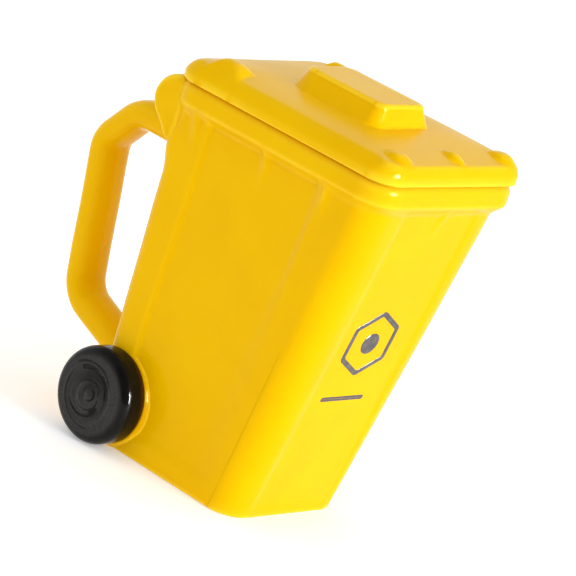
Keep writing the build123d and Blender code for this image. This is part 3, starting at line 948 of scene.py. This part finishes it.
# ---- materials
class Recipe:
    """The node tree of a material or world, its nodes made and joined in few words."""

    def __init__(self, owner, shader="Principled BSDF", coordinates="Object"):
        owner.use_nodes = True
        self.owner = owner
        self.tree = owner.node_tree
        self.shader = self.tree.nodes[shader]
        self.place = self.add("ShaderNodeTexCoord").outputs[coordinates]

    def add(self, kind, settings=None, **inputs):
        """A node with its settings, and its inputs set to numbers or joined to other outputs."""
        made = self.tree.nodes.new(kind)
        for key, value in (settings or {}).items():
            setattr(made, key, value)
        for key, value in inputs.items():
            self.join(value, made.inputs[key.replace("_", " ")])
        return made

    def join(self, value, socket):
        """Joins an output to a socket, or sets the socket to a number, vector or colour."""
        if isinstance(value, bpy.types.NodeSocket):
            self.tree.links.new(value, socket)
        else:
            socket.default_value = value

    def noise(self, per_metre, detail=2.0, distortion=0.0):
        """Cloudy noise with about per_metre lumps to the metre."""
        settings = dict(Vector=self.place, Scale=per_metre, Detail=detail, Distortion=distortion)
        return self.add("ShaderNodeTexNoise", **settings).outputs["Fac"]

    def cells(self, per_metre):
        """Distance to the nearest of scattered points."""
        made = self.add("ShaderNodeTexVoronoi", Vector=self.place, Scale=per_metre)
        return made.outputs["Distance"]

    def stored(self, name):
        """A number kept on the mesh."""
        return self.add("ShaderNodeAttribute", {"attribute_name": name}).outputs["Fac"]

    def ranged(self, value, low, high, to_low=0.0, to_high=1.0):
        """value taken from one range to another and held at its ends."""
        ends = dict(From_Min=low, From_Max=high, To_Min=to_low, To_Max=to_high)
        settings = {"interpolation_type": "SMOOTHSTEP"}
        return self.add("ShaderNodeMapRange", settings, Value=value, **ends).outputs["Result"]

    def maths(self, operation, first, second):
        """The sum or product of two values."""
        made = self.add("ShaderNodeMath", {"operation": operation})
        self.join(first, made.inputs[0])
        self.join(second, made.inputs[1])
        return made.outputs[0]

    def mix(self, share, first, second):
        """Two colours mixed by share."""
        made = self.add("ShaderNodeMix", {"data_type": "RGBA"})
        self.join(share, made.inputs[0])
        sockets = [socket for socket in made.inputs if socket.type == "RGBA"]
        for colour, socket in zip((first, second), sockets):
            self.join((*colour, 1.0) if isinstance(colour, tuple) else colour, socket)
        return next(socket for socket in made.outputs if socket.type == "RGBA")

    def relief(self, heights):
        """A chain of bumps from (height, depth in metres) pairs."""
        normal = None
        for height, depth in heights:
            made = self.add("ShaderNodeBump", Distance=depth, Height=height)
            if normal is not None:
                self.join(normal, made.inputs["Normal"])
            normal = made.outputs["Normal"]
        self.join(normal, self.shader.inputs["Normal"])

    def finish(self, **inputs):
        """The material or world, with these inputs of its shader joined or set."""
        for key, value in inputs.items():
            self.join(value, self.shader.inputs[key.replace("_", " ")])
        return self.owner


def yellow_glaze():
    """Glossy yellow glaze over pale clay: deeper where it pools, paler on edges, partly as thin glaze
    and partly as a painted highlight, bare on seats.

    The level top of the lid is a little rougher and shinier than the rest.
    """
    recipe = Recipe(bpy.data.materials.new("yellow_glaze"))
    pool = recipe.stored("pool")
    level = recipe.stored("level")
    bare = recipe.ranged(recipe.maths("ADD", recipe.stored("bare"), recipe.noise(700.0)), 1.0, 1.16)
    cloud = recipe.ranged(recipe.noise(38.0, 3.0, 0.6), 0.3, 0.7)
    speck = recipe.ranged(recipe.noise(1500.0, 1.0), 0.66, 0.80)
    colour = recipe.mix(cloud, (0.81, 0.455, 0.0), (0.83, 0.483, 0.0))
    colour = recipe.mix(recipe.ranged(pool, 0.22, 1.0, 0.0, 0.6), colour, (0.66, 0.30, 0.0))
    # Paler on convex edges: partly the glaze running thin, partly a painted highlight for the light
    # that the edges catch
    colour = recipe.mix(recipe.ranged(pool, -0.12, -0.9, 0.0, 0.6), colour, (0.95, 0.66, 0.03))
    colour = recipe.mix(recipe.maths("MULTIPLY", speck, 0.10), colour, (0.70, 0.33, 0.02))
    clay = recipe.mix(recipe.noise(900.0, 4.0), (0.58, 0.50, 0.40), (0.76, 0.70, 0.60))
    gloss = recipe.ranged(recipe.noise(60.0, 2.0), 0.3, 0.7, 0.09, 0.14)
    gloss = recipe.maths("ADD", gloss, recipe.maths("MULTIPLY", level, 0.20))
    pinhole = recipe.ranged(recipe.cells(160.0), 0.0, 0.045)
    waves, ripples = recipe.noise(55.0, 1.0), recipe.noise(420.0, 2.0)
    recipe.relief([(waves, 0.00022), (ripples, 0.00002), (pinhole, 0.00001)])
    return recipe.finish(
        Base_Color=recipe.mix(bare, colour, clay),
        Roughness=recipe.ranged(bare, 0.0, 1.0, gloss, 0.82),
        IOR=1.34,
        Specular_IOR_Level=recipe.ranged(level, 0.0, 1.0, 0.13, 0.5),
        Specular_Tint=(1.0, 0.86, 0.35, 1.0),
    )


def black_glaze():
    """Black glaze laid on with a brush: brown and see-through where it runs out over the yellow."""
    recipe = Recipe(bpy.data.materials.new("black_glaze"))
    brushed = recipe.stored("brushed")
    streak = recipe.noise(330.0, 4.0, 1.5)
    ragged = recipe.maths("ADD", recipe.stored("thin"), recipe.maths("MULTIPLY", streak, 0.35))
    gloss = recipe.mix(recipe.noise(240.0, 3.0), (0.003, 0.003, 0.003), (0.007, 0.0065, 0.006))
    # Painted shade and painted reflection on the face: darker in the brush grooves, lighter on the
    # raised strokes; its lighter grey than the tread is partly painted reflection too
    painted_groove_shade = recipe.maths("ADD", recipe.stored("stroke"), recipe.maths("MULTIPLY", streak, 0.4))
    painted_groove_shade = recipe.ranged(painted_groove_shade, 0.35, 1.05)
    face = recipe.mix(painted_groove_shade, (0.002, 0.002, 0.002), (0.032, 0.031, 0.029))
    colour = recipe.mix(brushed, gloss, face)
    colour = recipe.mix(recipe.ranged(ragged, 0.55, 1.15, 0.0, 0.8), colour, (0.06, 0.022, 0.004))
    colour = recipe.mix(recipe.ranged(ragged, 1.16, 1.32), colour, (0.42, 0.17, 0.008))
    edge = recipe.ranged(recipe.stored("pool"), -0.15, -0.9, 0.0, 0.5)
    smooth_gloss = recipe.ranged(recipe.noise(180.0, 3.0, 2.0), 0.3, 0.7, 0.07, 0.13)
    matt = recipe.ranged(recipe.noise(260.0, 4.0, 2.5), 0.3, 0.7, 0.24, 0.40)
    recipe.relief([(recipe.noise(140.0, 2.0, 0.5), 0.00012), (streak, 0.00004)])
    return recipe.finish(
        Base_Color=recipe.mix(edge, colour, (0.03, 0.024, 0.02)),
        Roughness=recipe.ranged(brushed, 0.0, 1.0, smooth_gloss, matt),
        IOR=1.5,
        Specular_IOR_Level=0.13,
    )


def fired_ink():
    """Dark fired ink sunk in the glaze, a little thinner in places."""
    recipe = Recipe(bpy.data.materials.new("fired_ink"))
    patch = recipe.ranged(recipe.noise(420.0, 4.0), 0.35, 0.75)
    colour = recipe.mix(patch, (0.055, 0.048, 0.055), (0.10, 0.085, 0.075))
    fleck = recipe.maths("MULTIPLY", recipe.ranged(recipe.noise(2400.0, 1.0), 0.66, 0.74), 0.35)
    recipe.relief([(recipe.noise(900.0, 2.0), 0.00002)])
    return recipe.finish(
        Base_Color=recipe.mix(fleck, colour, (0.40, 0.25, 0.02)),
        Roughness=recipe.ranged(patch, 0.0, 1.0, 0.16, 0.26),
        IOR=1.5,
    )


def paper_floor():
    """Pale, matt paper on a light table."""
    recipe = Recipe(bpy.data.materials.new("studio_paper"))
    return recipe.finish(
        Base_Color=recipe.mix(recipe.noise(600.0, 3.0), (0.90, 0.90, 0.90), (0.94, 0.94, 0.94)),
        Roughness=0.9,
        Specular_IOR_Level=0.1,
        Emission_Color=(1.0, 1.0, 1.0, 1.0),
        Emission_Strength=0.25,
    )


# ---- the studio, in metres
CAMERA_AZIMUTH = 52.175
CAMERA_ELEVATION = 16.353
CAMERA_ROLL = 17.640
CAMERA_DISTANCE = 1.05888
CAMERA_TARGET = Vector((0.0, -0.007554, 0.060219))
CAMERA_LENS = 233.97
LAMP_AZIMUTH = -3.0
LAMP_ELEVATION = 14.0
LAMP_DISTANCE = 1.3
FLOOR_HALF = 4.0
DARK_AZIMUTH = 55.0
DARK_ELEVATION = 26.0
ROOM_STRENGTH = 0.91
ROOM_GLOSS = 0.95
DARK_GLOSS = 0.095


def direction(azimuth, elevation):
    """The way out from the mug, in degrees: azimuth 0 is in front and 90 is to the left."""
    turn, lift = math.radians(azimuth), math.radians(elevation)
    return Vector((-math.sin(turn) * math.cos(lift), -math.cos(turn) * math.cos(lift), math.sin(lift)))


def add_camera():
    """The camera to the front left of the mug, rolled so that the mug leans to the right."""
    turn, roll = math.radians(CAMERA_AZIMUTH), math.radians(CAMERA_ROLL)
    back = direction(CAMERA_AZIMUTH, CAMERA_ELEVATION)
    level = Vector((math.cos(turn), -math.sin(turn), 0.0))
    upright = back.cross(level)
    across = level * math.cos(roll) + upright * math.sin(roll)
    upwards = upright * math.cos(roll) - level * math.sin(roll)
    camera = bpy.data.objects.new("camera", bpy.data.cameras.new("camera"))
    camera.data.lens = CAMERA_LENS
    axes = Matrix((across, upwards, back)).transposed().to_4x4()
    camera.matrix_world = Matrix.Translation(CAMERA_TARGET + back * CAMERA_DISTANCE) @ axes
    bpy.context.scene.collection.objects.link(camera)
    bpy.context.scene.camera = camera


def add_lamp(name, size, watts):
    """A soft box in front of the mug, aimed at it."""
    away = direction(LAMP_AZIMUTH, LAMP_ELEVATION)
    lamp = bpy.data.objects.new(name, bpy.data.lights.new(name, "AREA"))
    lamp.data.shape = "RECTANGLE"
    lamp.data.size, lamp.data.size_y = size
    lamp.data.energy = watts
    lamp.location = CAMERA_TARGET + away * LAMP_DISTANCE
    lamp.rotation_euler = away.to_track_quat("Z", "Y").to_euler()
    bpy.context.scene.collection.objects.link(lamp)
    return lamp


def white_room():
    """An even white room. In the gloss the ceiling is dim, and so is the side near the camera."""
    recipe = Recipe(bpy.data.worlds.new("white_room"), "Background", "Generated")
    nearness = recipe.add("ShaderNodeVectorMath", {"operation": "DOT_PRODUCT"})
    recipe.join(recipe.place, nearness.inputs[0])
    recipe.join(direction(DARK_AZIMUTH, DARK_ELEVATION), nearness.inputs[1])
    height = recipe.add("ShaderNodeSeparateXYZ", Vector=recipe.place).outputs["Z"]
    wall = recipe.ranged(nearness.outputs["Value"], 0.60, 0.90, ROOM_GLOSS, DARK_GLOSS)
    gloss = recipe.maths("MULTIPLY", wall, recipe.ranged(height, 0.35, 0.80, 1.0, 0.4))
    mirrored = recipe.add("ShaderNodeLightPath").outputs["Is Glossy Ray"]
    strength = recipe.add("ShaderNodeMix", Factor=mirrored, A=ROOM_STRENGTH, B=gloss)
    return recipe.finish(Color=(1.0, 1.0, 1.0, 1.0), Strength=strength.outputs["Result"])


def add_studio():
    """A pale floor, a white room, and a soft box that is brighter in the gloss than in its light."""
    corners = [(-1, -1), (1, -1), (1, 1), (-1, 1)]
    points = np.array([(FLOOR_HALF * x, FLOOR_HALF * y, 0.0) for x, y in corners])
    floor = make_object("floor", points / MM, [(0, 1, 2, 3)])
    floor.data.materials.append(paper_floor())
    bpy.context.scene.world = white_room()
    add_lamp("front_box", (0.36, 0.60), 8.2).visible_glossy = False
    add_lamp("front_glint", (0.50, 0.44), 230.0).visible_diffuse = False
    bpy.context.scene.view_settings.view_transform = "Standard"


# ---- put it together
def fit(piece, node, body, material):
    """Gives a piece its material and puts it in the place of its CAD node."""
    piece.data.materials.append(material)
    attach(piece, body)
    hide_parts(node)


def build():
    """Every piece of the mug and its lid."""
    yellow, black, ink = yellow_glaze(), black_glaze(), fired_ink()
    glazed = [
        (build_body(), "mug_body", "mug"),
        (build_handle(), "handle_loop", "mug"),
        (build_ear(LEFT), "left_ear", "mug"),
        (build_ear(RIGHT), "right_ear", "mug"),
        (build_boss(LEFT), "left_wheel_boss", "mug"),
        (build_boss(RIGHT), "right_wheel_boss", "mug"),
        (build_lid(), "lid_shell", "lid"),
        (build_grip(), "lid_grip", "lid"),
        (build_ring(), "lid_locating_ring", "lid"),
    ]
    for piece, node, body in glazed:
        add_pooling(piece)
        fit(piece, node, body, yellow)
    for side in (LEFT, RIGHT):
        wheel = build_wheel(side)
        add_pooling(wheel)
        fit(wheel, f"{side}_wheel", "mug", black)
    fit(build_mark(), "front_mark_transfer", "mug", ink)
    fit(build_bar(), "front_bar_transfer", "mug", ink)


build()
add_camera()
add_studio()
